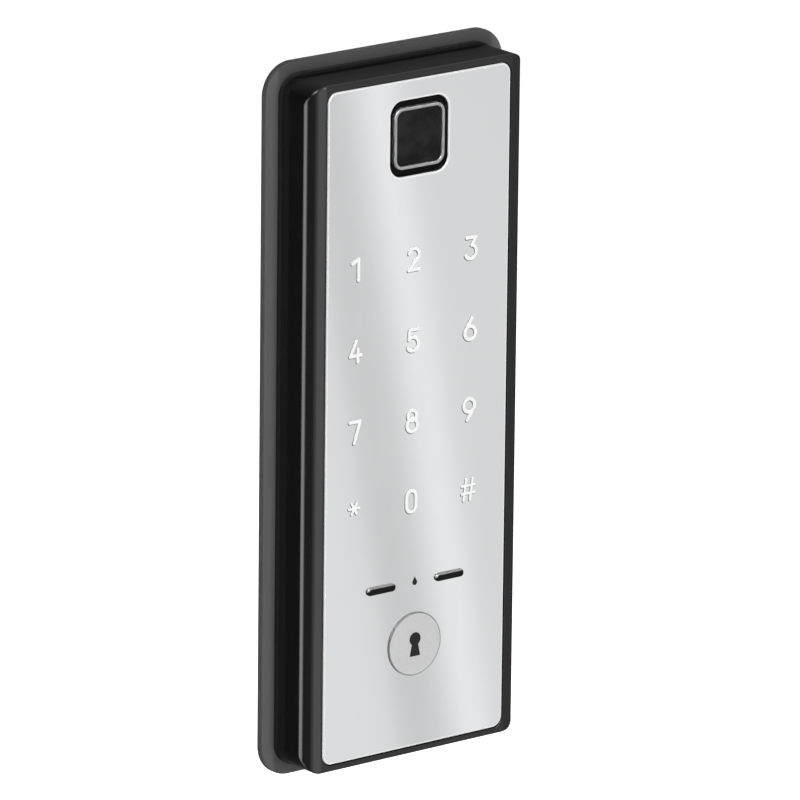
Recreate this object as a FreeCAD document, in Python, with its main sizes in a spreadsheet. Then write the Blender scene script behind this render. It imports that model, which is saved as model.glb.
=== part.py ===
import FreeCAD
import Part
import Sketcher
import math
import os

# Fingerprint and keypad terminal for a door.  The door face is the plane Y = 0,
# the front faces -Y and +Z is up.  Every "station" below is a distance in front
# of the door face, so a station of 15.6 is the plane Y = -15.6.  Millimetres.

Vector = FreeCAD.Vector

SIZES = (
    # mirror front panel
    ("panel_width", 56.0), ("panel_height", 170.0), ("panel_corner", 2.8),
    ("panel_depth", 1.2), ("panel_gap", 0.3), ("panel_edge", 0.25),
    ("front_station", 15.6),
    # housing
    ("shell_width", 65.8), ("shell_height", 173.8), ("shell_corner", 4.7),
    ("shell_station", 3.6), ("shell_wall", 1.8), ("front_wall", 1.6),
    ("bezel_drop", 0.1), ("bezel_land", 0.4), ("bezel_angle", 13.2),
    ("shoulder_radius", 3.0), ("end_edge", 0.6),
    # rear cover and mounting pad
    ("cover_width", 65.6), ("cover_height", 175.2), ("cover_corner", 5.8),
    ("cover_depth", 1.65), ("rim_depth", 1.4), ("rim_width", 1.2), ("rim_gap", 0.2),
    ("pad_width", 72.8), ("pad_height", 180.8), ("pad_corner", 8.2),
    ("pad_depth", 1.95), ("pad_edge", 0.45),
    ("pocket_width", 54.0), ("pocket_height", 162.0), ("pocket_corner", 6.0),
    ("pocket_depth", 0.6), ("groove_width", 65.0), ("groove_height", 172.6),
    ("groove_corner", 6.5), ("groove_wide", 1.4), ("groove_depth", 0.4),
    # fixings to the door
    ("insert_spacing", 144.0), ("insert_outer", 9.0), ("insert_flange", 13.0),
    ("insert_flange_depth", 1.4), ("insert_station", 0.3), ("insert_length", 7.0),
    ("thread_hole", 4.2), ("thread_depth", 6.5),
    # cable inlet
    ("inlet_height", 28.0), ("inlet_bore", 14.0), ("inlet_neck", 18.8),
    ("inlet_flange", 21.6), ("inlet_lip", 0.8), ("inlet_station", 0.7),
    # tamper plunger, its spring and its switch
    ("tamper_side", 18.0), ("tamper_height", -30.0), ("plunger_rod", 5.0),
    ("plunger_fit", 0.05), ("plunger_out", 1.3), ("plunger_collar", 7.4),
    ("collar_depth", 0.8), ("collar_gap", 0.05), ("pusher", 2.4), ("pusher_length", 1.1),
    ("guide_outer", 10.0), ("guide_inner", 8.2), ("guide_length", 3.4),
    ("spring_mean", 4.2), ("spring_wire", 0.35), ("spring_coils", 4.0),
    ("switch_side", 6.0), ("switch_depth", 1.8), ("switch_button", 2.6),
    ("switch_button_depth", 0.6),
    # fingerprint sensor
    ("sensor_height", 70.4), ("opening_width", 17.8), ("opening_height", 19.1),
    ("opening_corner", 3.6), ("frame_gap", 0.15), ("frame_front", 1.15),
    ("flange_width", 21.6), ("flange_height", 22.9), ("flange_depth", 0.6),
    ("foam_depth", 0.4), ("ring_side", 15.5), ("ring_corner", 2.7), ("ring_wall", 0.85),
    ("ring_proud", 0.1), ("touch_side", 13.5), ("touch_corner", 1.7), ("touch_sunk", 0.35),
    ("sensor_board_width", 31.0), ("sensor_board_height", 20.0),
    ("sensor_board_depth", 1.0), ("sensor_screw_side", 13.2),
    ("sensor_boss", 4.2), ("ribbon_width", 8.0), ("ribbon_depth", 0.3),
    # touch keypad
    ("key_offset", -1.4), ("key_pitch_across", 17.7), ("key_pitch_down", 20.5), ("key_top_row", 39.8),
    ("legend_stroke", 0.88), ("legend_fine_stroke", 0.66), ("legend_depth", 0.12),
    ("shadow_depth", 0.02), ("touch_board_width", 48.0), ("touch_board_height", 76.0),
    ("touch_board_depth", 1.0), ("diffuser_depth", 0.3), ("window_gap", 0.3),
    ("led_hole", 2.2), ("led_width", 3.2), ("led_height", 1.6), ("led_depth", 0.8),
    # emergency supply contacts
    ("contact_side", 10.6), ("contact_height", -42.7), ("contact_length", 8.7),
    ("contact_width", 2.0), ("contact_proud", 0.8), ("contact_edge", 0.55),
    ("contact_post", 1.5), ("post_gap", 0.1),
    # badge
    ("badge_height", -58.5), ("badge_diameter", 16.2), ("badge_depth", 0.4),
    ("badge_edge", 0.15), ("badge_print", 0.05),
    # main board
    ("board_width", 56.0), ("board_height", 112.0), ("board_centre", -3.0),
    ("board_depth", 1.0), ("board_station", 9.6), ("board_hole_side", 25.5),
    ("board_hole_top", 50.0), ("board_hole_bottom", -56.0), ("board_boss", 4.6),
    # screws
    ("small_screw", 1.9), ("small_head", 3.6), ("small_head_depth", 1.2),
    ("small_length", 2.9), ("small_hole", 2.0), ("cover_screw", 2.5),
    ("cover_head", 4.4), ("cover_head_depth", 1.0), ("cover_screw_length", 9.0),
    ("cover_hole", 2.7), ("cover_screw_side", 25.5), ("cover_screw_height", 78.0),
    ("cover_boss", 6.6),
)

doc = FreeCAD.newDocument("terminal")
sheet = doc.addObject("Spreadsheet::Sheet", "sheet")
for row, (alias, value) in enumerate(SIZES, 1):
    sheet.set(f"A{row}", alias)
    sheet.set(f"B{row}", str(value))
    sheet.setAlias(f"B{row}", alias)
doc.recompute()


class Size:
    """A length or angle that knows both its number and its spreadsheet expression."""

    def __init__(self, value, text):
        self.value = value
        self.text = text

    def __add__(self, other):
        other = as_size(other)
        return Size(self.value + other.value, f"({self.text} + {other.text})")

    def __sub__(self, other):
        other = as_size(other)
        return Size(self.value - other.value, f"({self.text} - {other.text})")

    def __mul__(self, number):
        return Size(self.value * number, f"({self.text} * {number})")

    def __neg__(self):
        return Size(-self.value, f"(0 - {self.text})")


def as_size(number):
    """A plain number as a Size, and a Size as it is."""
    if isinstance(number, Size):
        return number
    return Size(float(number), f"{float(number):.4f}")


def size(alias):
    """The spreadsheet's cell of that name."""
    return Size(float(sheet.get(alias)), f"sheet.{alias}")


ZERO = as_size(0)
front = size("front_station")
recess = front - size("panel_depth")
wall_inside = recess - size("front_wall")
cover_inside = size("pad_depth") + size("cover_depth")
board_front = size("board_station") + size("board_depth")


# ---------------------------------------------------------------- outlines

def fix_point(sketch, geometry, point, x=None, y=None):
    """Hold a point of a sketch at a distance from the sketch's origin."""
    for kind, distance in (("DistanceX", x), ("DistanceY", y)):
        if distance is not None:
            rule = Sketcher.Constraint(kind, -1, 1, geometry, point, distance.value)
            index = sketch.addConstraint(rule)
            sketch.setExpression(f"Constraints[{index}]", distance.text)


def set_dimension(sketch, kind, geometry, amount):
    """Give a line, an arc or a circle a bound dimension of its own."""
    index = sketch.addConstraint(Sketcher.Constraint(kind, geometry, amount.value))
    sketch.setExpression(f"Constraints[{index}]", amount.text)


def circle(diameter, x=ZERO, y=ZERO):
    """A circle, as a function that draws it in a sketch."""
    def draw(sketch):
        shape = Part.Circle(Vector(x.value, y.value, 0), Vector(0, 0, 1), diameter.value / 2)
        geometry = sketch.addGeometry(shape, False)
        fix_point(sketch, geometry, 3, x, y)
        set_dimension(sketch, "Diameter", geometry, diameter)
    return draw


def block(width, height, x=ZERO, y=ZERO):
    """A rectangle with sharp corners, as a function that draws it."""
    def draw(sketch):
        left, right = x - width * 0.5, x + width * 0.5
        low, high = y - height * 0.5, y + height * 0.5
        corners = ((left, low), (right, low), (right, high), (left, high))
        lines = []
        for start, end in zip(corners, corners[1:] + corners[:1]):
            segment = Part.LineSegment(Vector(start[0].value, start[1].value, 0),
                                       Vector(end[0].value, end[1].value, 0))
            lines.append(sketch.addGeometry(segment, False))
        for before, after in zip(lines, lines[1:] + lines[:1]):
            sketch.addConstraint(Sketcher.Constraint("Coincident", before, 2, after, 1))
        for line, (across, up) in zip(lines, corners):
            fix_point(sketch, line, 1, across, up)
    return draw


def rounded(width, height, corner, x=ZERO, y=ZERO):
    """A rectangle with rounded corners, as a function that draws it."""
    def draw(sketch):
        left, right = x - width * 0.5, x + width * 0.5
        low, high = y - height * 0.5, y + height * 0.5
        radius = corner.value
        inner = ((right.value - radius, low.value + radius),
                 (right.value - radius, high.value - radius),
                 (left.value + radius, high.value - radius),
                 (left.value + radius, low.value + radius))
        chain = []
        for quarter, (across, up) in enumerate(inner):
            turn = (quarter - 1) * math.pi / 2
            centre = Vector(across, up, 0)
            behind = inner[quarter - 1]
            leave = Vector(behind[0] + radius * math.cos(turn),
                           behind[1] + radius * math.sin(turn), 0)
            arrive = Vector(across + radius * math.cos(turn),
                            up + radius * math.sin(turn), 0)
            chain.append(sketch.addGeometry(Part.LineSegment(leave, arrive), False))
            whole = Part.Circle(centre, Vector(0, 0, 1), radius)
            arc = Part.ArcOfCircle(whole, turn, turn + math.pi / 2)
            chain.append(sketch.addGeometry(arc, False))
        for before, after in zip(chain, chain[1:] + chain[:1]):
            sketch.addConstraint(Sketcher.Constraint("Tangent", before, 2, after, 1))
        for place, line in enumerate(chain[0::2]):
            kind = "Horizontal" if place % 2 == 0 else "Vertical"
            sketch.addConstraint(Sketcher.Constraint(kind, line))
        for arc in chain[3::2]:
            sketch.addConstraint(Sketcher.Constraint("Equal", chain[1], arc))
        set_dimension(sketch, "Radius", chain[1], corner)
        fix_point(sketch, chain[0], 1, y=low)
        fix_point(sketch, chain[2], 1, x=right)
        fix_point(sketch, chain[4], 1, y=high)
        fix_point(sketch, chain[6], 1, x=left)
    return draw


def shoulder(side):
    """The waste outside one long edge's sloped and rounded shoulder, seen from above."""
    def draw(sketch):
        half = size("shell_width") * 0.5
        radius = size("shoulder_radius")
        start = size("panel_width") * 0.5 + size("bezel_land")
        level = -(front - size("bezel_drop"))
        slope = math.radians(size("bezel_angle").value)
        centre = half - radius
        reach = (centre.value - start.value) * math.tan(slope)
        height = level.value + reach + radius.value / math.cos(slope)
        touch = (centre.value + radius.value * math.sin(slope),
                 height - radius.value * math.cos(slope))
        outside, ahead = half.value + 2, level.value - 2
        points = ((start.value, level.value), touch, (half.value, height),
                  (outside, height), (outside, ahead), (start.value, ahead))
        points = [Vector(side * across, up, 0) for across, up in points]
        whole = Part.Circle(Vector(side * centre.value, height, 0), Vector(0, 0, 1),
                            radius.value)
        if side > 0:
            arc = Part.ArcOfCircle(whole, slope - math.pi / 2, 0)
            first, last = 1, 2
        else:
            arc = Part.ArcOfCircle(whole, math.pi, 1.5 * math.pi - slope)
            first, last = 2, 1
        bend = sketch.addGeometry(arc, False)
        lines = []
        for low, high in ((0, 1), (2, 3), (3, 4), (4, 5), (5, 0)):
            segment = Part.LineSegment(points[low], points[high])
            lines.append(sketch.addGeometry(segment, False))
        incline, ledge, edge, far, near = lines
        sketch.addConstraint(Sketcher.Constraint("Tangent", incline, 2, bend, first))
        sketch.addConstraint(Sketcher.Constraint("Coincident", bend, last, ledge, 1))
        for before, after in ((ledge, edge), (edge, far), (far, near), (near, incline)):
            sketch.addConstraint(Sketcher.Constraint("Coincident", before, 2, after, 1))
        sketch.addConstraint(Sketcher.Constraint("Horizontal", ledge))
        sketch.addConstraint(Sketcher.Constraint("Horizontal", bend, 3, bend, last))
        for line in (edge, near):
            sketch.addConstraint(Sketcher.Constraint("Vertical", line))
        sketch.addConstraint(Sketcher.Constraint("Horizontal", far))
        set_dimension(sketch, "Radius", bend, radius)
        fix_point(sketch, bend, 3, x=centre * side)
        fix_point(sketch, incline, 1, start * side, level)
        turn = size("bezel_angle") if side > 0 else as_size(180) - size("bezel_angle")
        index = sketch.addConstraint(
            Sketcher.Constraint("Angle", incline, math.radians(turn.value)))
        sketch.setExpression(f"Constraints[{index}]", f"{turn.text} * 1 deg")
        fix_point(sketch, edge, 1, x=(half + 2) * side)
        fix_point(sketch, far, 1, y=level - 2)
    return draw


# ------------------------------------------------------------------ bodies

class Piece:
    """A PartDesign body that stands at a station and grows towards the front."""

    def __init__(self, label, station, several=False):
        self.body = doc.addObject("PartDesign::Body", label)
        self.body.Label = label
        if several:
            self.body.AllowCompound = True
        self.body.setExpression("Placement.Base.y", (-station).text)

    def sketch(self, name, level, outlines, role="XZ_Plane"):
        """A sketch on the body's own plane, moved by a level along its normal."""
        item = self.body.newObject("Sketcher::SketchObject", name)
        plane = [f for f in self.body.Origin.OriginFeatures if f.Role == role][0]
        item.AttachmentSupport = [(plane, "")]
        item.MapMode = "FlatFace"
        item.setExpression("AttachmentOffset.Base.z", level.text)
        for draw in outlines:
            draw(item)
        return item

    def add(self, name, level, depth, *outlines):
        """Material from a level towards the front; inner outlines are holes."""
        profile = self.sketch(f"{name}_outline", level, outlines)
        feature = self.body.newObject("PartDesign::Pad", name)
        feature.Profile = profile
        feature.setExpression("Length", depth.text)
        doc.recompute()
        return self

    def cut(self, name, level, depth, *outlines):
        """A pocket from a level towards the front."""
        profile = self.sketch(f"{name}_outline", level, outlines)
        before = self.body.Shape.Volume
        feature = self.body.newObject("PartDesign::Pocket", name)
        feature.Profile = profile
        feature.Reversed = True
        feature.setExpression("Length", depth.text)
        doc.recompute()
        if not feature.Shape.Volume < before - 1e-6:
            raise ValueError(f"{name} removes nothing")
        return self

    def ease(self, kind, name, amount, wanted):
        """A fillet or a chamfer on the edges that the test picks."""
        base = self.body.Tip
        chosen = [f"Edge{number}" for number, edge in enumerate(base.Shape.Edges, 1)
                  if wanted(edge)]
        feature = self.body.newObject(f"PartDesign::{kind}", name)
        feature.Base = (base, chosen)
        feature.setExpression("Radius" if kind == "Fillet" else "Size", amount.text)
        doc.recompute()
        return self


def at_level(level, within=None):
    """A test for edges that lie in the plane of a level, inside a half-width if given."""
    def wanted(edge):
        box = edge.BoundBox
        if abs(box.YMin + level.value) > 1e-4 or abs(box.YMax + level.value) > 1e-4:
            return False
        return within is None or within(box)
    return wanted


def mirrored(x, y):
    """A place and its mirror image across the centre plane."""
    return ((x, y), (-x, y))


cover_screws = [(x, y) for height in (size("cover_screw_height"), -size("cover_screw_height"))
                for x, y in mirrored(size("cover_screw_side"), height)]
board_screws = [(x, y) for height in (size("board_hole_top"), size("board_hole_bottom"))
                for x, y in mirrored(size("board_hole_side"), height)]
sensor_screws = mirrored(size("sensor_screw_side"), size("sensor_height"))
contacts = mirrored(size("contact_side"), size("contact_height"))
inserts = [(ZERO, size("insert_spacing") * 0.5), (ZERO, size("insert_spacing") * -0.5)]
tamper = (size("tamper_side"), size("tamper_height"))
keys = [(size("key_offset") + size("key_pitch_across") * column,
         size("key_top_row") - size("key_pitch_down") * row)
        for row in range(4) for column in (-1, 0, 1)]


# --- front panel with its sensor opening and the contacts' holes
panel = Piece("front_panel", recess)
panel.add("plate", ZERO, size("panel_depth"),
          rounded(size("panel_width"), size("panel_height"), size("panel_corner")),
          rounded(size("opening_width"), size("opening_height"), size("opening_corner"),
                  ZERO, size("sensor_height")),
          *[circle(size("contact_post") + size("post_gap") * 2, x, y) for x, y in contacts])
panel.ease("Chamfer", "polished_edge", size("panel_edge"),
           at_level(size("panel_depth"), lambda box: box.DiagonalLength > 2.5))

# --- housing: one moulding with the bezel, the walls and the screw bosses
shell = Piece("housing_shell", ZERO)
shell.add("outside", size("shell_station"), front - size("bezel_drop") - size("shell_station"),
          rounded(size("shell_width"), size("shell_height"), size("shell_corner")))
shell.ease("Fillet", "soft_ends", size("end_edge"),
           at_level(front - size("bezel_drop")))
for side, name in ((1, "right_shoulder"), (-1, "left_shoulder")):
    waste = shell.sketch(f"{name}_outline", -size("shell_height") * 0.5 - 1,
                         [shoulder(side)], "XY_Plane")
    step = shell.body.newObject("PartDesign::Pocket", name)
    step.Profile = waste
    step.Reversed = True
    step.setExpression("Length", (size("shell_height") + 2).text)
    doc.recompute()
thin = size("shell_wall") * 2
shell.cut("cavity", size("shell_station"), wall_inside - size("shell_station"),
          rounded(size("shell_width") - thin, size("shell_height") - thin,
                  size("shell_corner") - size("shell_wall")))
shell.cut("panel_recess", recess, size("panel_depth"),
          rounded(size("panel_width") + size("panel_gap") * 2,
                  size("panel_height") + size("panel_gap") * 2,
                  size("panel_corner") + size("panel_gap")))
shell.add("cover_bosses", size("shell_station"), wall_inside - size("shell_station"),
          *[circle(size("cover_boss"), x, y) for x, y in cover_screws])
shell.add("board_bosses", board_front, wall_inside - board_front,
          *[circle(size("board_boss"), x, y) for x, y in board_screws])
shell.add("sensor_bosses", wall_inside - size("sensor_board_depth"), size("sensor_board_depth"),
          *[circle(size("sensor_boss"), x, y) for x, y in sensor_screws])
window_centre = size("key_top_row") - size("key_pitch_down") * 1.5
shell.cut("openings", wall_inside, size("front_wall"),
          rounded(size("opening_width"), size("opening_height"), size("opening_corner"),
                  ZERO, size("sensor_height")),
          rounded(size("touch_board_width") + size("window_gap") * 2,
                  size("touch_board_height") + size("window_gap") * 2, as_size(1.5),
                  ZERO, window_centre),
          *[circle(size("contact_post") + size("post_gap") * 2, x, y) for x, y in contacts])
shell.cut("cover_screw_holes", size("shell_station"), as_size(8.4),
          *[circle(size("cover_screw") + 0.1, x, y) for x, y in cover_screws])
shell.cut("board_screw_holes", board_front, as_size(2.6),
          *[circle(size("small_hole"), x, y) for x, y in board_screws])
shell.cut("sensor_screw_holes", wall_inside - size("sensor_board_depth"), as_size(2.2),
          *[circle(size("small_hole"), x, y) for x, y in sensor_screws])

# --- rear cover
cover = Piece("rear_cover", size("pad_depth"))
inside_width = size("shell_width") - thin - size("rim_gap") * 2
inside_height = size("shell_height") - thin - size("rim_gap") * 2
cover.add("plate", ZERO, size("cover_depth"),
          rounded(size("cover_width"), size("cover_height"), size("cover_corner")))
cover.add("locating_rim", size("cover_depth"), size("rim_depth"),
          rounded(inside_width, inside_height, as_size(2.7)),
          rounded(inside_width - size("rim_width") * 2, inside_height - size("rim_width") * 2,
                  as_size(1.5)))
cover.add("plunger_guide", size("cover_depth"), size("guide_length"),
          circle(size("guide_outer"), *tamper), circle(size("guide_inner"), *tamper))
cover.cut("through_holes", ZERO, size("cover_depth"),
          circle(size("inlet_neck") + 0.2, ZERO, size("inlet_height")),
          circle(size("plunger_rod") + size("plunger_fit") * 2, *tamper),
          *[circle(size("insert_outer") + 0.1, x, y) for x, y in inserts],
          *[circle(size("cover_hole"), x, y) for x, y in cover_screws])
cover.cut("head_recesses", ZERO, size("cover_head_depth"),
          *[circle(size("cover_head") + 0.2, x, y) for x, y in cover_screws])

# --- rubber pad between the rear cover and the door
pad = Piece("mounting_pad", ZERO)
pad.add("sheet", ZERO, size("pad_depth"),
        rounded(size("pad_width"), size("pad_height"), size("pad_corner")))
pad.ease("Fillet", "soft_edge", size("pad_edge"), at_level(size("pad_depth")))
pad.cut("rear_relief", ZERO, size("pocket_depth"),
        rounded(size("pocket_width"), size("pocket_height"), size("pocket_corner")))
pad.cut("seal_groove", ZERO, size("groove_depth"),
        rounded(size("groove_width"), size("groove_height"), size("groove_corner")),
        rounded(size("groove_width") - size("groove_wide") * 2,
                size("groove_height") - size("groove_wide") * 2,
                size("groove_corner") - size("groove_wide")))
pad.cut("clearances", size("pocket_depth"), size("pad_depth") - size("pocket_depth"),
        circle(size("inlet_flange") + 0.6, ZERO, size("inlet_height")),
        circle(size("plunger_rod") + 1.6, *tamper),
        *[circle(size("insert_outer") + 0.6, x, y) for x, y in inserts])

# --- brass inserts that take the two through bolts
brass = Piece("fixing_inserts", size("insert_station"), several=True)
brass.add("sleeves", ZERO, size("insert_length"),
          *[circle(size("insert_outer"), x, y) for x, y in inserts])
brass.add("flanges", cover_inside - size("insert_station"), size("insert_flange_depth"),
          *[circle(size("insert_flange"), x, y) for x, y in inserts])
brass.cut("threads", ZERO, size("thread_depth"),
          *[circle(size("thread_hole"), x, y) for x, y in inserts])

# --- cable inlet grommet
grommet = Piece("cable_grommet", size("inlet_station"))
lip_outside = size("pad_depth") - size("inlet_station")
place = (ZERO, size("inlet_height"))
grommet.add("outer_lip", ZERO, lip_outside,
            circle(size("inlet_flange"), *place), circle(size("inlet_bore"), *place))
grommet.add("neck", lip_outside, size("cover_depth"),
            circle(size("inlet_neck"), *place), circle(size("inlet_bore"), *place))
grommet.add("inner_lip", lip_outside + size("cover_depth"), size("inlet_lip"),
            circle(size("inlet_flange"), *place), circle(size("inlet_bore"), *place))

# --- tamper plunger
plunger = Piece("tamper_plunger", -size("plunger_out"))
rod_length = size("plunger_out") + cover_inside + size("collar_gap")
plunger.add("rod", ZERO, rod_length, circle(size("plunger_rod"), *tamper))
plunger.ease("Chamfer", "lead_in", as_size(0.35), at_level(ZERO))
plunger.add("collar", rod_length, size("collar_depth"), circle(size("plunger_collar"), *tamper))
plunger.add("tip", rod_length + size("collar_depth"), size("pusher_length"),
            circle(size("pusher"), *tamper))

# --- tamper switch on the main board
switch = Piece("tamper_switch",
               size("board_station") - size("switch_depth") - size("switch_button_depth"))
switch.add("case", size("switch_button_depth"), size("switch_depth"),
           block(size("switch_side"), size("switch_side"), *tamper))
switch.add("button", ZERO, size("switch_button_depth"), circle(size("switch_button"), *tamper))

# --- fingerprint sensor: frame, ring, touch pad, foam, board, socket
frame_face = front - size("frame_front")
flange_back = wall_inside - size("foam_depth") - size("flange_depth")
place = (ZERO, size("sensor_height"))
slack = size("frame_gap") * 2
frame = Piece("sensor_frame", flange_back)
frame.add("flange", ZERO, size("flange_depth"),
          rounded(size("flange_width"), size("flange_height"), as_size(2.0), *place))
frame.add("surround", size("flange_depth"), frame_face - flange_back - size("flange_depth"),
          rounded(size("opening_width") - slack, size("opening_height") - slack,
                  size("opening_corner") - size("frame_gap"), *place))
ring = Piece("sensor_ring", frame_face)
ring.add("hoop", ZERO, front + size("ring_proud") - frame_face,
         rounded(size("ring_side"), size("ring_side"), size("ring_corner"), *place),
         rounded(size("ring_side") - size("ring_wall") * 2,
                 size("ring_side") - size("ring_wall") * 2,
                 size("ring_corner") - size("ring_wall"), *place))
ring.ease("Fillet", "soft_edge", as_size(0.25),
          at_level(front + size("ring_proud") - frame_face))
touch = Piece("sensor_pad", frame_face)
touch.add("glass", ZERO, front - size("touch_sunk") - frame_face,
          rounded(size("touch_side"), size("touch_side"), size("touch_corner"), *place))
foam = Piece("sensor_foam", wall_inside - size("foam_depth"))
foam.add("ring", ZERO, size("foam_depth"),
         rounded(size("flange_width"), size("flange_height"), as_size(2.0), *place),
         rounded(size("opening_width") + 0.4, size("opening_height") + 0.4,
                 size("opening_corner") + 0.2, *place))
sensor_back = flange_back - size("sensor_board_depth")
sensor_board = Piece("sensor_board", sensor_back)
sensor_board.add("board", ZERO, size("sensor_board_depth"),
                 rounded(size("sensor_board_width"), size("sensor_board_height"),
                         as_size(1.0), *place),
                 *[circle(size("small_hole") + 0.1, x, y) for x, y in sensor_screws])
socket_height = size("sensor_height") - 7.6
sensor_socket = Piece("sensor_socket", sensor_back - 1.1)
sensor_socket.add("case", ZERO, as_size(1.1), block(as_size(11), as_size(3), ZERO, socket_height))
sensor_socket.cut("mouth", as_size(0.3), as_size(0.5),
                  block(size("ribbon_width") + 0.4, as_size(1.6), ZERO, socket_height - 0.7))

# --- touch keypad behind the panel: diffuser, board, lights, link to the main board
place = (ZERO, window_centre)
diffuser = Piece("diffuser_sheet", recess - size("diffuser_depth"))
diffuser.add("sheet", ZERO, size("diffuser_depth"),
             rounded(size("touch_board_width"), size("touch_board_height"), as_size(1.2), *place))
touch_back = recess - size("diffuser_depth") - size("touch_board_depth")
touch_board = Piece("touch_board", touch_back)
touch_board.add("board", ZERO, size("touch_board_depth"),
                rounded(size("touch_board_width"), size("touch_board_height"),
                        as_size(1.2), *place),
                *[circle(size("led_hole"), x, y) for x, y in keys])
lights = Piece("key_leds", touch_back - size("led_depth"), several=True)
lights.add("cases", ZERO, size("led_depth"),
           *[block(size("led_width"), size("led_height"), x, y) for x, y in keys])
link = Piece("board_link", board_front)
link.add("header", ZERO, touch_back - board_front,
         block(as_size(24), as_size(4.2), ZERO, window_centre - size("key_pitch_down")))

# --- main board and what is on it
main = Piece("main_board", size("board_station"))
main.add("board", ZERO, size("board_depth"),
         rounded(size("board_width"), size("board_height"), as_size(1.5),
                 ZERO, size("board_centre")),
         *[circle(size("small_hole") + 0.2, x, y) for x, y in board_screws])


def on_board(label, height, width, tall, x, y):
    """A rectangular component on the main board's door side."""
    item = Piece(label, size("board_station") - height)
    item.add("case", ZERO, as_size(height), block(as_size(width), as_size(tall), as_size(x), y))
    return item


on_board("controller_chip", 1.2, 10, 10, 0, as_size(-8))
drivers = Piece("driver_chips", size("board_station") - 1.2, several=True)
drivers.add("cases", ZERO, as_size(1.2),
            *[block(as_size(6), as_size(5), x, y) for x, y in mirrored(as_size(16), as_size(2))])
ribbon_socket_height = size("sensor_height") - 21.4
ribbon_socket = on_board("ribbon_socket", 1.1, 11, 3, 0, ribbon_socket_height)
ribbon_socket.cut("mouth", as_size(0.3), as_size(0.5),
                  block(size("ribbon_width") + 0.4, as_size(1.6), ZERO,
                        ribbon_socket_height + 0.7))
cable_socket = on_board("cable_socket", 4.2, 12, 6.4, 0, size("inlet_height"))
cable_socket.cut("mouth", ZERO, as_size(3.4),
                 block(as_size(10.2), as_size(4.6), ZERO, size("inlet_height")))
buzzer = Piece("buzzer", size("board_station") - 4.0)
buzzer.add("can", ZERO, as_size(4.0), circle(as_size(12), as_size(-17), as_size(-30)))
buzzer.cut("sound_hole", ZERO, as_size(1.0), circle(as_size(2), as_size(-17), as_size(-30)))


# --- screws
def screws(label, station, places, head, head_depth, shank, length):
    """Pan-head screws with a cross recess, heads towards the door."""
    group = Piece(label, station, several=True)
    group.add("heads", ZERO, head_depth, *[circle(head, x, y) for x, y in places])
    group.add("shanks", head_depth, length, *[circle(shank, x, y) for x, y in places])
    group.cut("slots", ZERO, as_size(0.55),
              *[block(head * 0.55, as_size(0.5), x, y) for x, y in places])
    group.cut("cross_slots", ZERO, as_size(0.55),
              *[block(as_size(0.5), head * 0.55, x, y) for x, y in places])


screws("cover_screws", size("pad_depth"), cover_screws, size("cover_head"),
       size("cover_head_depth"), size("cover_screw"), size("cover_screw_length"))
screws("board_screws", size("board_station") - size("small_head_depth"), board_screws,
       size("small_head"), size("small_head_depth"), size("small_screw"), size("small_length"))
screws("sensor_screws", sensor_back - size("small_head_depth"), sensor_screws,
       size("small_head"), size("small_head_depth"), size("small_screw"), size("small_length"))

# --- emergency supply contacts: a rounded bar with a post to the main board
for label, (x, y) in zip(("right_contact", "left_contact"), contacts):
    bar = Piece(label, board_front)
    bar.add("post", ZERO, front - board_front, circle(size("contact_post"), x, y))
    bar.add("bar", front - board_front, size("contact_proud"),
            rounded(size("contact_length"), size("contact_width"),
                    size("contact_width") * 0.48, x, y))
    bar.ease("Fillet", "rounding", size("contact_edge"),
             at_level(front - board_front + size("contact_proud")))

# --- badge disc
badge = Piece("badge_disc", front)
badge.add("disc", ZERO, size("badge_depth"),
          circle(size("badge_diameter"), ZERO, size("badge_height")))
badge.ease("Fillet", "soft_edge", size("badge_edge"), at_level(size("badge_depth")))


# ------------------------------------------------- printed and bent shapes

def stroke_line(start, end, width):
    """A straight pen stroke with round ends, as a face in the XY plane."""
    start, end = Vector(*start), Vector(*end)
    along = (end - start).normalize()
    aside = Vector(-along.y, along.x, 0) * (width / 2)
    cap = along * (width / 2)
    edges = [Part.LineSegment(start + aside, end + aside).toShape(),
             Part.Arc(end + aside, end + cap, end - aside).toShape(),
             Part.LineSegment(end - aside, start - aside).toShape(),
             Part.Arc(start - aside, start - cap, start + aside).toShape()]
    return Part.Face(Part.Wire(edges))


def stroke_arc(centre, radius, begin, finish, width):
    """A curved pen stroke with round ends, between two angles in degrees."""
    centre = Vector(*centre)

    def ray(angle, distance):
        turn = math.radians(angle)
        return centre + Vector(math.cos(turn), math.sin(turn), 0) * distance

    if finish - begin >= 360:
        rim = Part.Wire(Part.makeCircle(radius + width / 2, centre))
        hole = Part.Wire(Part.makeCircle(radius - width / 2, centre))
        return Part.makeFace([rim, hole], "Part::FaceMakerBullseye")
    middle = (begin + finish) / 2
    over = math.degrees(width / 2 / radius)
    outer, inner = radius + width / 2, radius - width / 2
    edges = [Part.Arc(ray(begin, outer), ray(middle, outer), ray(finish, outer)).toShape(),
             Part.Arc(ray(finish, outer), ray(finish + over, radius),
                      ray(finish, inner)).toShape(),
             Part.Arc(ray(finish, inner), ray(middle, inner), ray(begin, inner)).toShape(),
             Part.Arc(ray(begin, inner), ray(begin - over, radius),
                      ray(begin, outer)).toShape()]
    return Part.Face(Part.Wire(edges))


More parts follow.
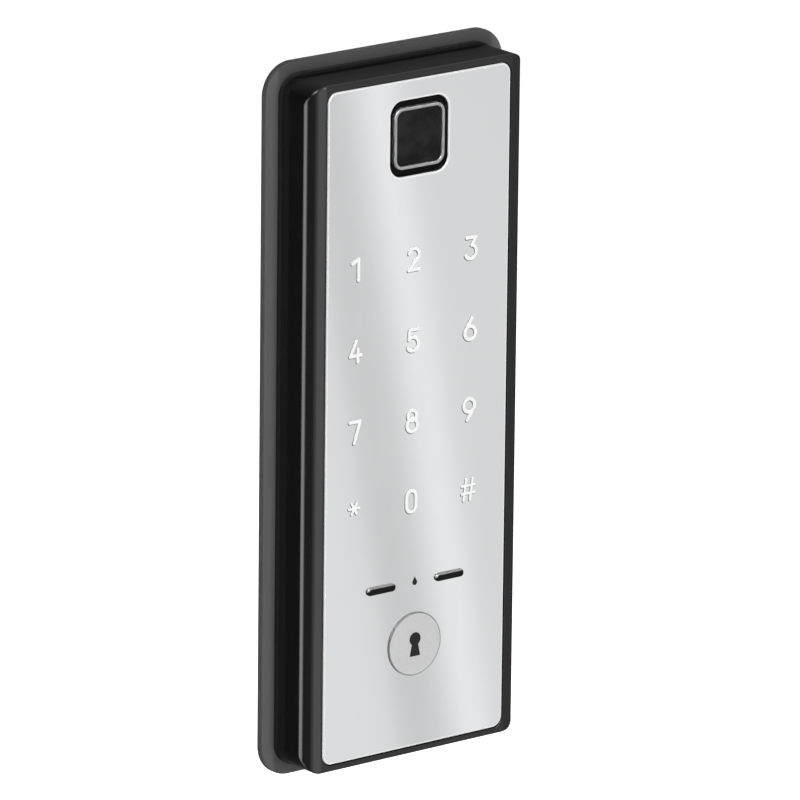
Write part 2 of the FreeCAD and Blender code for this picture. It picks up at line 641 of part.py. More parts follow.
def strokes(key, wide, fine):
    """The pen strokes of one key's legend, centred on the key, 6.2 mm tall."""
    top, foot = 2.68, -2.68

    def line(x0, y0, x1, y1, width=wide):
        return stroke_line((x0, y0, 0), (x1, y1, 0), width)

    def arc(x, y, radius, begin, finish):
        return stroke_arc((x, y, 0), radius, begin, finish, wide)

    if key == "1":
        return [line(-1.2, 1.7, 0.7, top), line(0.7, top, 0.7, foot)]
    if key == "2":
        turn = math.radians(-40)
        bend = (1.55 * math.cos(turn), 1.13 + 1.55 * math.sin(turn))
        return [arc(0, 1.13, 1.55, -40, 165), line(*bend, -1.6, foot), line(-1.6, foot, 1.6, foot)]
    if key == "3":
        return [line(-1.35, top, 1.4, top), line(1.4, top, 0.15, 0.75),
                arc(-0.1, -0.95, 1.73, -150, 82)]
    if key == "4":
        return [line(0.2, top, -1.6, -1.1), line(-1.6, -1.1, 1.7, -1.1),
                line(0.7, 0.5, 0.7, foot)]
    if key == "5":
        return [line(-1.05, top, 1.4, top), line(-1.05, top, -1.3, 0.3),
                arc(-0.1, -0.95, 1.73, -150, 134)]
    if key in "69":
        turn = math.radians(145)
        bend = (1.67 * math.cos(turn), -1.01 + 1.67 * math.sin(turn))
        faces = [arc(0, -1.01, 1.67, 0, 360), line(*bend, 0.55, top)]
        if key == "9":
            for face in faces:
                face.rotate(Vector(0, 0, 0), Vector(0, 0, 1), 180)
        return faces
    if key == "7":
        return [line(-1.55, top, 1.55, top), line(1.55, top, -0.2, foot)]
    if key == "8":
        return [arc(0, 1.38, 1.3, 0, 360), arc(0, -1.1, 1.58, 0, 360)]
    if key == "0":
        return [arc(0, 1.26, 1.42, 0, 180), arc(0, -1.26, 1.42, 180, 360),
                line(-1.42, 1.26, -1.42, -1.26), line(1.42, 1.26, 1.42, -1.26)]
    if key == "#":
        bars = [line(-1.95, level, 2.05, level, fine) for level in (-1.0, 1.0)]
        posts = [line(side - 0.4, -2.7, side + 0.4, 2.7, fine) for side in (-1.0, 1.0)]
        return bars + posts
    rays = []
    for angle in (0, 60, 120):
        turn = math.radians(angle)
        x, y = 1.55 * math.cos(turn), 1.55 * math.sin(turn)
        rays.append(line(-x, 1.2 - y, x, 1.2 + y, fine))
    return rays


def raised(faces, depth):
    """Flat faces thickened towards +Z and joined into one solid."""
    solids = [face.extrude(Vector(0, 0, depth)) for face in faces]
    joined = solids[0].multiFuse(solids[1:]) if len(solids) > 1 else solids[0]
    return joined.removeSplitter()


def stand_up(shape, x, y):
    """A shape drawn flat, moved to a key and turned to face the front."""
    shape.translate(Vector(x, y, 0))
    shape.rotate(Vector(0, 0, 0), Vector(1, 0, 0), 90)
    return shape


def finished(label, shape, station):
    """A plain Part feature that stands at a station."""
    item = doc.addObject("Part::Feature", label)
    item.Label = label
    item.Shape = shape
    item.setExpression("Placement.Base.y", (-station).text)
    doc.recompute()
    return item


white, grey = [], []
wide, fine = size("legend_stroke").value, size("legend_fine_stroke").value
for name, (x, y) in zip("123456789*0#", keys):
    glyph = raised(strokes(name, wide, fine), size("legend_depth").value)
    print_below = raised(strokes(name, wide, fine), size("shadow_depth").value)
    print_below.translate(Vector(-0.17, -0.2, 0))
    shade = print_below.cut(raised(strokes(name, wide, fine), 1.0))
    white.append(stand_up(glyph, x.value, y.value))
    grey.append(stand_up(shade, x.value, y.value))
finished("keypad_legends", Part.makeCompound(white), front)
finished("legend_shadows", Part.makeCompound(grey), front)

# a small dark teardrop printed between the two contacts
drop_radius, drop_tip = 0.72, 1.5
lean = math.acos(drop_radius / drop_tip)
sides = [Vector(sign * drop_radius * math.sin(lean), drop_radius * math.cos(lean), 0)
         for sign in (1, -1)]
peak = Vector(0, drop_tip, 0)
outline = [Part.LineSegment(peak, sides[1]).toShape(),
           Part.Arc(sides[1], Vector(0, -drop_radius, 0), sides[0]).toShape(),
           Part.LineSegment(sides[0], peak).toShape()]
drop = Part.Face(Part.Wire(outline)).extrude(Vector(0, 0, size("shadow_depth").value * 2))
finished("centre_mark", stand_up(drop, 0, size("contact_height").value), front)

# a plain keyhole sign on the badge
hole = Part.Face(Part.Wire(Part.makeCircle(1.7, Vector(0, 1.3, 0))))
flare = Part.makePolygon([Vector(-0.75, 1.0, 0), Vector(-1.6, -3.1, 0), Vector(1.6, -3.1, 0),
                          Vector(0.75, 1.0, 0), Vector(-0.75, 1.0, 0)])
sign = raised([hole, Part.Face(flare)], size("badge_print").value)
finished("badge_sign", stand_up(sign, 0, size("badge_height").value),
         front + size("badge_depth"))

# coil spring between the plunger's collar and the tamper switch
spring_back = cover_inside + size("collar_gap") + size("collar_depth")
spring_front = size("board_station") - size("switch_depth")
wire = size("spring_wire").value
length = spring_front.value - spring_back.value - wire - 0.04
mean = size("spring_mean").value / 2
path = Part.makeHelix(length / size("spring_coils").value, length, mean)
section = Part.Wire(Part.makeCircle(wire / 2, Vector(mean, 0, 0), Vector(0, 1, 0)))
coil = Part.Wire(path).makePipeShell([section], True, True)
coil = stand_up(coil, tamper[0].value, tamper[1].value)
finished("tamper_spring", coil, spring_back + size("spring_wire") * 0.5 + 0.02)

# flat ribbon from the sensor board to the main board, an S of two large arcs
upper = (sensor_back.value - 0.55, socket_height.value - 0.5)
lower = (size("board_station").value - 0.55, ribbon_socket_height.value + 0.5)
step_back = upper[0] - lower[0]
bend_top, bend_foot = upper[1] - 1.8, lower[1] + 1.8
drop_height = bend_top - bend_foot
bend = (drop_height ** 2 + step_back ** 2) / (4 * abs(step_back))
swing = math.asin(drop_height / 2 / bend) / 2


def ribbon_point(station, height):
    """A point of the ribbon's centre line, in its local frame."""
    return Vector(0, -station, height)


middle = ribbon_point((upper[0] + lower[0]) / 2, (bend_top + bend_foot) / 2)
quarter = bend * (1 - math.cos(swing))
first_mid = ribbon_point(upper[0] - quarter, bend_top - bend * math.sin(swing))
last_mid = ribbon_point(lower[0] + quarter, bend_foot + bend * math.sin(swing))
corners = [ribbon_point(*upper), ribbon_point(upper[0], bend_top),
           ribbon_point(lower[0], bend_foot), ribbon_point(*lower)]
run = Part.Wire([Part.LineSegment(corners[0], corners[1]).toShape(),
                 Part.Arc(corners[1], first_mid, middle).toShape(),
                 Part.Arc(middle, last_mid, corners[2]).toShape(),
                 Part.LineSegment(corners[2], corners[3]).toShape()])
half, thick = size("ribbon_width").value / 2, size("ribbon_depth").value / 2
band = Part.makePolygon([corners[0] + Vector(x, y, 0) for x, y in
                         ((-half, -thick), (half, -thick), (half, thick), (-half, thick),
                          (-half, -thick))])
finished("sensor_ribbon", run.makePipeShell([band], True, True), ZERO)

# ------------------------------------------------------------ check, write
doc.recompute()
pieces = [item for item in doc.Objects
          if item.TypeId == "PartDesign::Body" or item.TypeId == "Part::Feature"]
for item in doc.Objects:
    if "Invalid" in item.State or "Error" in item.State:
        raise ValueError(f"{item.Label} did not compute: {item.State}")
for item in pieces:
    if item.Shape.isNull() or not item.Shape.isValid() or item.Shape.Volume <= 0:
        raise ValueError(f"{item.Label} has no valid solid")
os.makedirs("parts", exist_ok=True)
for item in pieces:
    item.Shape.exportStep(f"parts/{item.Label}.step")
print(len(pieces), "pieces written")
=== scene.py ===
import math

import bpy
import numpy as np
from mathutils import Matrix, Vector


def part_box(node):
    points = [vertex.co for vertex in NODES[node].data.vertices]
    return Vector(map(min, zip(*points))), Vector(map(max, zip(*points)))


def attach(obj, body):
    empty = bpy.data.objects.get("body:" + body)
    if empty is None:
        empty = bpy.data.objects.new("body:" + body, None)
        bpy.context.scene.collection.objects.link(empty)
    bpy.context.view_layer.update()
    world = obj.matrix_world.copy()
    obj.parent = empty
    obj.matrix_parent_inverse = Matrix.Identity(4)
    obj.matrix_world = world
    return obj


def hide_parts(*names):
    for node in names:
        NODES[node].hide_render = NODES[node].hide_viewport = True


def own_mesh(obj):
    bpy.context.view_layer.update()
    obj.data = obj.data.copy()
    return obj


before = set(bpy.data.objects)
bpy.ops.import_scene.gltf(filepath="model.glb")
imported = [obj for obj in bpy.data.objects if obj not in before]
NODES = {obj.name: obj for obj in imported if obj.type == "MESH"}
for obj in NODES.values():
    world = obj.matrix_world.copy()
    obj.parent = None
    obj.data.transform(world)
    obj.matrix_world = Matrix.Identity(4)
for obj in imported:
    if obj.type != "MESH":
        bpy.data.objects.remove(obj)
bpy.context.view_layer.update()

PANEL_CORNER = 0.0028
OPENING_HALF = np.array((0.0089, 0.0, 0.00955))
OPENING_CORNER = 0.0036


# ------------------------------------------------------------ node arithmetic

class Signal:
    """A socket of a material. Arithmetic on it adds Math nodes."""

    def __init__(self, finish, socket):
        self.finish = finish
        self.socket = socket

    def math(self, operation, *others, first=None):
        values = [self, *others] if first is None else [first, self]
        return self.finish.node("ShaderNodeMath", {"operation": operation},
                                dict(enumerate(values)))

    def __add__(self, other):
        return self.math("ADD", other)

    def __sub__(self, other):
        return self.math("SUBTRACT", other)

    def __rsub__(self, other):
        return self.math("SUBTRACT", first=other)

    def __mul__(self, other):
        return self.math("MULTIPLY", other)

    __radd__ = __add__
    __rmul__ = __mul__

    def larger(self, other):
        return self.math("MAXIMUM", other)

    def rise(self, low, high, start=0.0, end=1.0):
        """Goes smoothly from start to end as the signal goes from low to high."""
        return self.finish.node("ShaderNodeMapRange", {"interpolation_type": "SMOOTHSTEP"},
                                {"Value": self, "From Min": low, "From Max": high,
                                 "To Min": start, "To Max": end})

    def between(self, low, high, soft):
        """One between low and high, zero outside, with sides that soft."""
        return (self.rise(low - soft, low + soft)
                * self.rise(high - soft, high + soft, 1.0, 0.0))


class Finish:
    """A material, its shader and the nodes that feed it."""

    def __init__(self, name):
        self.material = bpy.data.materials.new(name)
        self.material.use_nodes = True
        self.tree = self.material.node_tree
        self.tree.nodes.clear()
        surface = self.node("ShaderNodeBsdfPrincipled", {}, {})
        self.shader = surface.socket.node
        self.node("ShaderNodeOutputMaterial", {}, {"Surface": surface}, None)

    def node(self, kind, settings, values, outlet=0):
        """Any node: its settings first, then the values or links of its sockets."""
        item = self.tree.nodes.new(kind)
        for name, value in settings.items():
            setattr(item, name, value)
        self.feed(item, values)
        return None if outlet is None else Signal(self, item.outputs[outlet])

    def feed(self, item, values):
        for name, value in values.items():
            if isinstance(value, Signal):
                self.tree.links.new(value.socket, item.inputs[name])
            else:
                item.inputs[name].default_value = value

    def set(self, values):
        self.feed(self.shader, values)

    def place(self):
        """The piece's own coordinates, in metres."""
        return self.node("ShaderNodeTexCoord", {}, {}, "Object")

    def axes(self):
        place = self.place()
        return [self.node("ShaderNodeSeparateXYZ", {}, {"Vector": place}, axis)
                for axis in "XYZ"]

    def noise(self, scale, detail=2.0, roughness=0.5, stretch=(1, 1, 1)):
        """Cloudy noise from 0 to 1, with that many cells a metre."""
        place = self.node("ShaderNodeMapping", {}, {"Vector": self.place(), "Scale": stretch})
        return self.node("ShaderNodeTexNoise", {},
                         {"Vector": place, "Scale": scale, "Detail": detail,
                          "Roughness": roughness}, "Fac")

    def specks(self, scale, low, high):
        """Round dots at scattered points, that many a metre, from low to high across."""
        reach = self.node("ShaderNodeTexVoronoi", {},
                          {"Vector": self.place(), "Scale": scale}, "Distance")
        return reach.rise(low, high, 1.0, 0.0)

    def blend(self, mask, first, second):
        """A colour that goes from first to second with the mask."""
        first, second = (colour if isinstance(colour, Signal) else (*colour, 1.0)
                         for colour in (first, second))
        return self.node("ShaderNodeMix", {"data_type": "RGBA"},
                         {0: mask, 6: first, 7: second}, 2)

    def bump(self, height, depth, strength=1.0, worn=0.0):
        """A normal from a height whose full swing is depth metres, over worn edges."""
        values = {"Height": height, "Distance": depth, "Strength": strength}
        if worn:
            values["Normal"] = self.node("ShaderNodeBevel", {"samples": 6}, {"Radius": worn})
        return self.node("ShaderNodeBump", {}, values, "Normal")

    def wear(self, *names):
        """Puts this finish on those CAD pieces."""
        for name in names:
            mesh = NODES[name].data
            mesh.materials.clear()
            mesh.materials.append(self.material)


def grey(level):
    return (level, level, level)


# ------------------------------------------------------------------- finishes

def middle(name):
    """Centre of a CAD piece and half of its size."""
    low, high = (np.array(corner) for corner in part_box(name))
    return (low + high) / 2, (high - low) / 2


def rim_distance(finish, centre, half, corner):
    """Signed distance to a rounded rectangle seen from the front, negative inside.

    With q the distance from the centre less the straight half-sides, it is the length
    of the positive part of q, less the corner radius.
    """
    x, _, z = finish.axes()
    across = ((x - centre[0]).math("ABSOLUTE") - (half[0] - corner)).larger(0.0)
    up = ((z - centre[2]).math("ABSOLUTE") - (half[2] - corner)).larger(0.0)
    return (across * across + up * up).math("SQRT") - corner


def mirror_plate():
    """Polished plate: faint haze and wiping marks, a painted highlight that makes the edge
    chamfers pale, and painted shade that makes the side walls black.
    """
    finish = Finish("mirror_plate")
    centre, half = middle("front_panel")
    window, _ = middle("sensor_frame")
    # painted highlight: the chamfers round the plate and round the sensor opening are pale,
    # rough and less metallic
    outer = rim_distance(finish, centre, half, PANEL_CORNER).rise(-0.00055, -0.00025)
    opening = rim_distance(finish, window, OPENING_HALF, OPENING_CORNER)
    inner = opening.rise(0.00060, 0.00028)
    painted_rim_highlight = outer.larger(inner)
    front = centre[1] - half[1]
    # painted shade: the side walls behind the front chamfer are black, like the shaded gaps
    # round the plate and the opening
    painted_wall_shade = finish.axes()[1].rise(front + 0.00026, front + 0.00034)
    haze = finish.noise(45.0, 3.0, 0.55, (1.0, 1.0, 0.35))
    wiped = finish.noise(260.0, 4.0, 0.6, (1.0, 1.0, 0.2)).rise(0.5, 0.85)
    silver = finish.blend(haze, (0.835, 0.84, 0.85), (0.875, 0.88, 0.887))
    faced = finish.blend(painted_rim_highlight, silver, (0.93, 0.93, 0.935))
    finish.set({"Base Color": finish.blend(painted_wall_shade, faced, grey(0.02)),
                "Metallic": (1.0 - painted_rim_highlight * 0.8) * (1.0 - painted_wall_shade),
                "Roughness": 0.03 + haze * 0.025 + wiped * 0.02 + painted_rim_highlight * 0.3 + painted_wall_shade * 0.4,
                "Normal": finish.bump(finish.noise(30.0, 1.0), 0.00002, 0.25)})
    finish.wear("front_panel")


def gloss_housing():
    """Black glossy moulding with a fine orange peel, dust and handling marks."""
    finish = Finish("gloss_housing")
    peel = finish.noise(900.0, 2.0)
    marks = finish.noise(120.0, 5.0, 0.65).rise(0.5, 0.85)
    dust = finish.specks(1500.0, 0.02, 0.06)
    finish.set({"Base Color": finish.blend(dust * 0.25, grey(0.005), grey(0.04)),
                "Roughness": 0.13 + marks * 0.08, "IOR": 1.5,
                "Normal": finish.bump(peel, 0.000004, 0.35, worn=0.0007)})
    finish.wear("housing_shell")


def matte_mouldings():
    """Black spark-eroded moulding, rough and faintly grained."""
    finish = Finish("matte_moulding")
    grain = finish.noise(5200.0, 2.0)
    cloud = finish.noise(90.0, 3.0)
    finish.set({"Base Color": finish.blend(cloud, grey(0.005), grey(0.010)),
                "Roughness": 0.6 + grain * 0.15, "IOR": 1.22,
                "Normal": finish.bump(grain, 0.00002, 0.5)})
    finish.wear("rear_cover", "tamper_plunger", "tamper_switch", "board_link")


def finger_well():
    """Deep black surround of the finger pad."""
    finish = Finish("finger_well")
    grain = finish.noise(3800.0, 2.0)
    finish.set({"Base Color": finish.blend(grain, grey(0.002), grey(0.005)),
                "Roughness": 0.42 + grain * 0.12, "IOR": 1.12,
                "Normal": finish.bump(grain, 0.00001, 0.4)})
    finish.wear("sensor_frame")


def rubbers():
    """Moulded rubber: cloudy bloom, a fine grain, and painted light that makes its long sides
    paler.
    """
    for name, dark, light, piece in (
            ("pad_rubber", grey(0.040), grey(0.078), "mounting_pad"),
            ("grommet_rubber", grey(0.016), grey(0.030), "cable_grommet")):
        finish = Finish(name)
        bloom = finish.noise(60.0, 4.0, 0.6)
        grain = finish.noise(3000.0, 2.0)
        pores = finish.specks(2400.0, 0.03, 0.12)
        # painted light: the long left and right sides of the piece get the paler grey(0.098)
        painted_lit_sides = finish.axes()[0].math("ABSOLUTE").rise(0.0320, 0.0335)
        cloudy = finish.blend(bloom * 0.5 + grain * 0.5, dark, light)
        painted_lit_sides = painted_lit_sides * (0.7 + bloom * 0.3)
        finish.set({"Base Color": finish.blend(painted_lit_sides, cloudy, grey(0.098)),
                    "Roughness": 0.65 + grain * 0.18, "IOR": 1.3, "Sheen Weight": 0.06,
                    "Normal": finish.bump(grain - pores * 0.5, 0.00002, 0.5)})
        finish.wear(piece)


def prints():
    """Cured ink: the raised white numerals and the black marks, and a painted shadow in grey
    beside the numerals.
    """
    for name, dark, light, rough, pieces in (
            ("white_print", grey(0.80), grey(0.86), 0.45, ("keypad_legends",)),
            # painted shadow: grey pieces offset down and to the left of the numerals
            ("grey_print", grey(0.12), grey(0.18), 0.45, ("legend_shadows",)),
            ("black_print", grey(0.003), grey(0.008), 0.5, ("centre_mark", "badge_sign"))):
        finish = Finish(name)
        cloud = finish.noise(1500.0, 3.0)
        finish.set({"Base Color": finish.blend(cloud, dark, light), "IOR": 1.35,
                    "Roughness": rough + cloud * 0.15,
                    "Normal": finish.bump(cloud, 0.00001, 0.3)})
        finish.wear(*pieces)


def badge_metal():
    """Satin disc: fine round turning marks and a dark line near its edge, partly its own
    outline and partly painted shade that damps the glint on its rounded edge.
    """
    finish = Finish("badge_metal")
    centre, half = middle("badge_disc")
    reach = rim_distance(finish, centre, half, half[0])
    grooves = (reach * 42000.0).math("SINE") * 0.5 + 0.5
    grain = finish.noise(2600.0, 3.0)
    # painted shade: near the edge the disc is darker, rougher and less metallic
    painted_edge_shade = reach.rise(-0.00036, -0.00024)
    silver = finish.blend(grain, grey(0.60), (0.70, 0.70, 0.705))
    finish.set({"Base Color": finish.blend(painted_edge_shade, silver, grey(0.24)),
                "Metallic": 0.85 - painted_edge_shade * 0.5,
                "Roughness": 0.30 + grain * 0.10 + grooves * 0.03 + painted_edge_shade * 0.3,
                "Normal": finish.bump(grooves * 0.5 + grain * 0.5, 0.000005, 0.5)})
    finish.wear("badge_disc")


def contact_metal():
    """Black nickel bars with painted light on their upper flanks, which face up and to the
    left and are a paler grey.
    """
    finish = Finish("contact_metal")
    scratch = finish.noise(1800.0, 3.0, 0.6, (0.12, 1.0, 1.0))
    worn = finish.noise(600.0, 3.0).rise(0.55, 0.8)
    # painted light: faces turned up and to the left get a paler grey, more metal and more
    # roughness
    outward = finish.node("ShaderNodeNewGeometry", {}, {}, "Normal")
    flank = finish.node("ShaderNodeVectorMath", {"operation": "DOT_PRODUCT"},
                        {0: outward, 1: (-0.45, 0.0, 0.89)}, "Value")
    painted_upper_light = (flank + scratch * 0.3 - 0.15).rise(0.25, 0.6)
    plated = finish.blend(worn * 0.5, grey(0.003), grey(0.012))
    finish.set({"Base Color": finish.blend(painted_upper_light, plated, grey(0.30)),
                "Metallic": 0.2 + painted_upper_light * 0.3, "IOR": 1.25,
                "Roughness": 0.25 + scratch * 0.14 + painted_upper_light * 0.15,
                "Normal": finish.bump(scratch, 0.000005, 0.5)})
    finish.wear("left_contact", "right_contact")


def plated_ring():
    """Plated ring with a brushed face."""
    finish = Finish("plated_ring")
    brushed = finish.noise(1800.0, 3.0, 0.6, (0.2, 1.0, 0.2))
    finish.set({"Base Color": finish.blend(brushed, grey(0.32), grey(0.42)),
                "Metallic": 0.9, "Roughness": 0.42 + brushed * 0.12,
                "Normal": finish.bump(brushed, 0.000002, 0.4)})
    finish.wear("sensor_ring")


def finger_glass():
    """Dark coated sensor face with a fine sensing grid and skin marks."""
    finish = Finish("finger_glass")
    x, _, z = finish.axes()
    grid = (x * 12500.0).math("SINE") * (z * 12500.0).math("SINE") * 0.5 + 0.5
    skin = finish.noise(160.0, 3.0, 0.6).rise(0.4, 0.7)
    finish.set({"Base Color": finish.blend(skin * 0.8 + grid * 0.2, grey(0.003), grey(0.015)),
                "Roughness": 0.30 + skin * 0.25, "IOR": 1.2,
                "Normal": finish.bump(grid, 0.000004, 0.4)})
    finish.wear("sensor_pad")


def metals():
    """Turned brass, zinc plated screws and drawn wire."""
    made = {}
    for name, dark, light, rough, pieces in (
            ("turned_brass", (0.55, 0.38, 0.16), (0.74, 0.55, 0.27), 0.26,
             ("fixing_inserts",)),
            ("zinc_plate", grey(0.42), grey(0.58), 0.30,
             ("cover_screws", "board_screws", "sensor_screws")),
            ("drawn_wire", grey(0.45), grey(0.62), 0.24, ("tamper_spring",))):
        finish = Finish(name)
        grain = finish.noise(1900.0, 4.0, 0.6, (1.0, 0.15, 1.0))
        stain = finish.noise(240.0, 3.0)
        finish.set({"Base Color": finish.blend(stain, dark, light), "Metallic": 1.0,
                    "Roughness": rough + grain * 0.18,
                    "Normal": finish.bump(grain, 0.00001, 0.5)})
        finish.wear(*pieces)
        made[name] = finish.material
    return made


def circuit_board():
    """Green solder resist with faint tracks under it."""
    finish = Finish("circuit_board")
    x, _, z = finish.axes()
    across = (x * 2600.0 + finish.noise(50.0, 1.0) * 14.0).math("SINE").rise(0.75, 0.95)
    along = (z * 2200.0 + finish.noise(35.0, 1.0) * 18.0).math("SINE").rise(0.8, 0.95)
    tracks = across.larger(along) * finish.noise(110.0, 1.0).rise(0.42, 0.5)
    finish.set({"Base Color": finish.blend(tracks, (0.008, 0.085, 0.035), (0.02, 0.17, 0.07)),
                "Roughness": 0.32 + tracks * 0.08,
                "Normal": finish.bump(tracks, 0.00002, 0.5)})
    finish.wear("main_board", "touch_board", "sensor_board")


def small_plastics():
    """Chips, sockets, lights, film and foam on the boards."""
    for name, dark, light, rough, scale, pieces in (
            ("moulded_epoxy", grey(0.012), grey(0.025), 0.5, 4200.0,
             ("controller_chip", "driver_chips", "buzzer")),
            ("natural_nylon", (0.66, 0.64, 0.58), (0.78, 0.76, 0.70), 0.42, 2400.0,
             ("sensor_socket", "ribbon_socket", "cable_socket", "key_leds")),
            ("amber_film", (0.38, 0.17, 0.03), (0.52, 0.26, 0.06), 0.22, 900.0,
             ("sensor_ribbon",)),
            ("milky_film", grey(0.78), grey(0.86), 0.45, 1200.0, ("diffuser_sheet",)),
            ("black_foam", grey(0.010), grey(0.030), 0.85, 6000.0, ("sensor_foam",))):
        finish = Finish(name)
        grain = finish.noise(scale, 3.0)
        finish.set({"Base Color": finish.blend(grain, dark, light),
                    "Roughness": rough + grain * 0.12,
                    "Normal": finish.bump(grain, 0.00002, 0.5)})
        finish.wear(*pieces)


# --------------------------------------------------------------- tamper spring

def coil_spring(wire_finish):
    """The plunger's return spring, a round wire wound on a cylinder.

    Along the wire the angle grows evenly through five turns, and the place along the
    spring grows as the smoothed part of the way, so the end turns lie flat. A ring of
    the wire is the coil radius plus the wire's cosine outwards, and its sine along the
    spring. Both cut ends close on one point.
    """
    centre, half = middle("tamper_spring")
    wire = 0.000175
    turns, steps, sides = 5.0, 241, 12
    part = np.linspace(0.0, 1.0, steps)[:, None]
    ring = np.linspace(0.0, 2 * np.pi, sides, endpoint=False)[None, :]
    wind = part * turns * 2 * np.pi
    way = np.clip((part * turns - 0.8) / (turns - 1.6), 0.0, 1.0)
    along = centre[1] + (half[1] - wire) * (2 * way - 1) + 0.0000001 * wind
    reach = half[0] - wire + wire * np.cos(ring)
    x = centre[0] + reach * np.cos(wind)
    y = along + wire * np.sin(ring)
    z = centre[2] + reach * np.sin(wind)
    points = np.stack([x, y, z], -1).reshape(-1, 3)
    ends = points.reshape(steps, sides, 3)[[0, -1]].mean(axis=1)
    index = np.arange(steps * sides).reshape(steps, sides)
    beside = np.roll(index, -1, axis=1)
    walls = np.stack([index[:-1], beside[:-1], beside[1:], index[1:]], -1).reshape(-1, 4)
    first = np.stack([beside[0], index[0], np.full(sides, steps * sides)], -1)
    last = np.stack([index[-1], beside[-1], np.full(sides, steps * sides + 1)], -1)
    mesh = bpy.data.meshes.new("coil_spring")
    mesh.from_pydata(np.vstack([points, ends]).tolist(), [],
                     walls.tolist() + first.tolist() + last.tolist())
    mesh.polygons.foreach_set("use_smooth", np.ones(len(mesh.polygons), dtype=bool))
    mesh.materials.append(wire_finish)
    piece = bpy.data.objects.new("coil_spring", mesh)
    bpy.context.scene.collection.objects.link(piece)
    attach(piece, "terminal")
    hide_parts("tamper_spring")
    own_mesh(piece)


mirror_plate()
gloss_housing()
matte_mouldings()
finger_well()
rubbers()
prints()
badge_metal()
contact_metal()
plated_ring()
finger_glass()
drawn_wire = metals()["drawn_wire"]
circuit_board()
small_plastics()
coil_spring(drawn_wire)


# --------------------------------------------------------------- studio, lens

def stage_surface(name, points, columns, finish, seen_by_lens):
    """A grid of points with that many columns, seen by the lens or in gloss alone."""
    index = np.arange(len(points)).reshape(-1, columns)
    faces = np.stack([index[:-1, :-1], index[:-1, 1:], index[1:, 1:], index[1:, :-1]], -1)
    mesh = bpy.data.meshes.new(name)
    mesh.from_pydata(points.tolist(), [], faces.reshape(-1, 4).tolist())
    mesh.materials.append(finish.material)
    piece = bpy.data.objects.new(name, mesh)
    bpy.context.scene.collection.objects.link(piece)
    piece.visible_camera = seen_by_lens
    piece.visible_glossy = not seen_by_lens
    piece.visible_diffuse = False
    piece.visible_shadow = False
    piece.visible_transmission = False


def ball(radius, columns, rows):
    """Points of a ball: the radius times (sin a cos e, -cos a cos e, sin e).

    The angle a turns from the front to the right, and e is the height angle.
    """
    a, e = np.meshgrid(np.linspace(-np.pi, np.pi, columns),
                       np.linspace(-np.pi / 2, np.pi / 2, rows))
    return radius * np.stack([np.sin(a) * np.cos(e), -np.cos(a) * np.cos(e), np.sin(e)],
                             -1).reshape(-1, 3)


def pale_room():
    """A wide pale floor well below the terminal, which hangs as on a door."""
    x, y = np.meshgrid(np.linspace(-6.0, 6.0, 5), np.linspace(-6.0, 6.0, 5))
    floor = np.stack([x, y, np.full_like(x, -0.5)], -1).reshape(-1, 3)
    for name, points, columns in (("floor", floor, 5),
                                  ("backdrop", ball(7.0, 49, 25), 49)):
        finish = Finish(name)
        cloud = finish.noise(3.0, 2.0)
        finish.set({"Base Color": finish.blend(cloud, grey(0.88), grey(0.92)),
                    "Roughness": 0.9, "Emission Color": (1.0, 1.0, 1.0, 1.0),
                    "Emission Strength": 0.80})
        stage_surface(name, points, columns, finish, True)


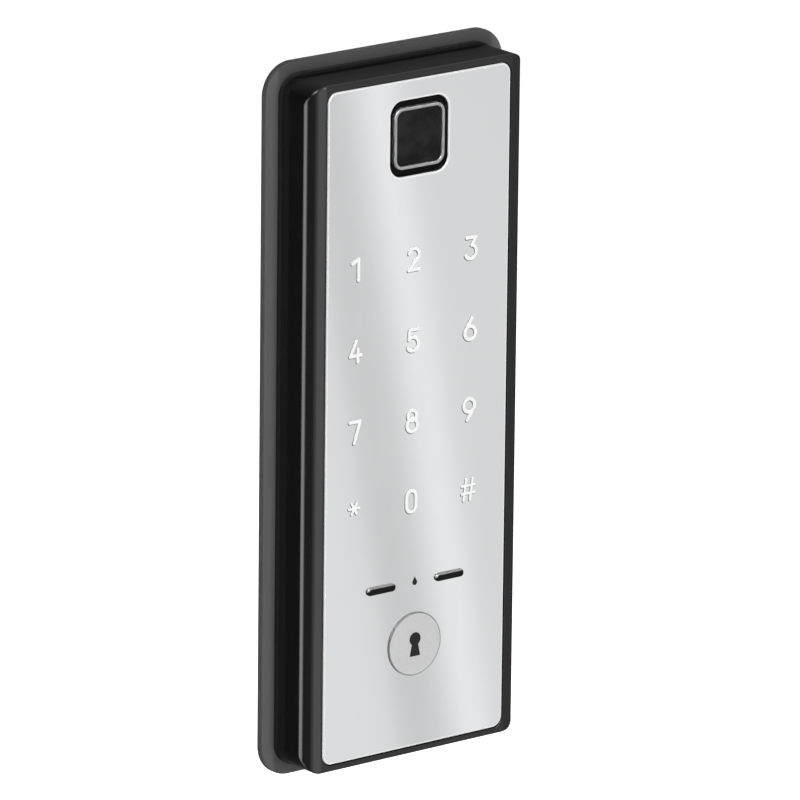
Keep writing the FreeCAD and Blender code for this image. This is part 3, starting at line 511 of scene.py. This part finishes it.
def soft_box_tent():
    """The studio as glossy surfaces see it: soft boxes, cloth and dark gaps."""
    finish = Finish("tent_light")
    x, y, z = finish.axes()
    degrees = 180 / math.pi
    turn = x.math("ARCTAN2", y * -1.0) * degrees
    height = z.math("ARCTAN2", (x * x + y * y).math("SQRT")) * degrees
    slant = turn + height * 0.163 - 35.27
    cloth = (0.798 - slant.rise(-1.82, -1.24) * 0.16 + slant.rise(-0.91, 0.13) * 0.325
             - slant.rise(-0.13, 0.72) * 0.224)
    cloth = cloth + turn.between(6.0, 20.0, 4.0) * height.rise(-40.0, -20.0, 0.5, 0.95)
    cloth = cloth * turn.rise(-22.0, -2.0) * turn.rise(46.0, 66.0, 1.0, 0.45)
    cloth = cloth * turn.rise(74.0, 96.0, 1.0, 0.1) * height.rise(14.0, 34.0, 1.0, 0.3)
    side_cloth = turn.between(-80.0, -14.0, 8.0) * 0.18
    strip = turn.between(-123.0, -90.0, 8.0) * height.between(-60.0, 12.0, 14.0) * 4.5
    key = turn.between(-98.0, -48.0, 8.0) * height.between(36.0, 64.0, 10.0) * 28.0
    spot = turn.between(6.0, 22.0, 4.0) * height.between(20.0, 32.0, 4.0) * 16.0
    away = turn.math("ABSOLUTE")
    roof = height.rise(20.0, 50.0) * away.rise(115.0, 150.0, 0.75, 0.1)
    back = away.rise(120.0, 150.0) * 0.04
    glow = 0.03 + cloth + side_cloth + strip + key + spot + roof + back
    finish.set({"Base Color": (0.0, 0.0, 0.0, 1.0), "Specular IOR Level": 0.0,
                "Roughness": 1.0, "Emission Color": glow, "Emission Strength": 1.0})
    stage_surface("tent", ball(1.1, 145, 73), 145, finish, False)


def soft_lights():
    """A faint sky, a large soft box in front and two fills."""
    world = bpy.data.worlds.new("sky")
    bpy.context.scene.world = world
    world.use_nodes = True
    sky = world.node_tree.nodes["Background"].inputs
    sky["Color"].default_value = (1, 1, 1, 1)
    sky["Strength"].default_value = 0.22
    for name, place, power, span in (("key_box", (-0.1, -1.8, -0.05), 28.0, 0.7),
                                     ("right_fill", (1.9, -0.3, 0.3), 9.0, 0.9),
                                     ("back_fill", (0.7, 1.7, 0.8), 16.0, 0.9)):
        lamp = bpy.data.lights.new(name, "AREA")
        lamp.energy = power
        lamp.size = span
        item = bpy.data.objects.new(name, lamp)
        item.location = place
        item.rotation_euler = (-Vector(place)).to_track_quat("-Z", "Y").to_euler()
        item.visible_glossy = False
        bpy.context.scene.collection.objects.link(item)


def camera():
    """A long lens to the left that looks down at the front by 16 degrees."""
    turn, drop, roll = (math.radians(angle) for angle in (38.07, 15.99, 0.63))
    centre, half = middle("front_panel")
    target = Vector((-0.005206, centre[1] - half[1], 0.004735))
    look = Vector((math.sin(turn) * math.cos(drop), math.cos(turn) * math.cos(drop),
                   -math.sin(drop)))
    level = look.cross(Vector((0, 0, 1))).normalized()
    up = level.cross(look)
    right = level * math.cos(roll) + up * math.sin(roll)
    above = up * math.cos(roll) - level * math.sin(roll)
    lens = bpy.data.cameras.new("camera")
    lens.sensor_width = 36.0
    lens.lens = 425.3
    lens.clip_end = 60.0
    item = bpy.data.objects.new("camera", lens)
    turned = Matrix((right, above, -look)).transposed().to_4x4()
    item.matrix_world = Matrix.Translation(target - look * 2.3061) @ turned
    bpy.context.scene.collection.objects.link(item)
    bpy.context.scene.camera = item


pale_room()
soft_box_tent()
soft_lights()
camera()
bpy.context.scene.view_settings.view_transform = "Standard"
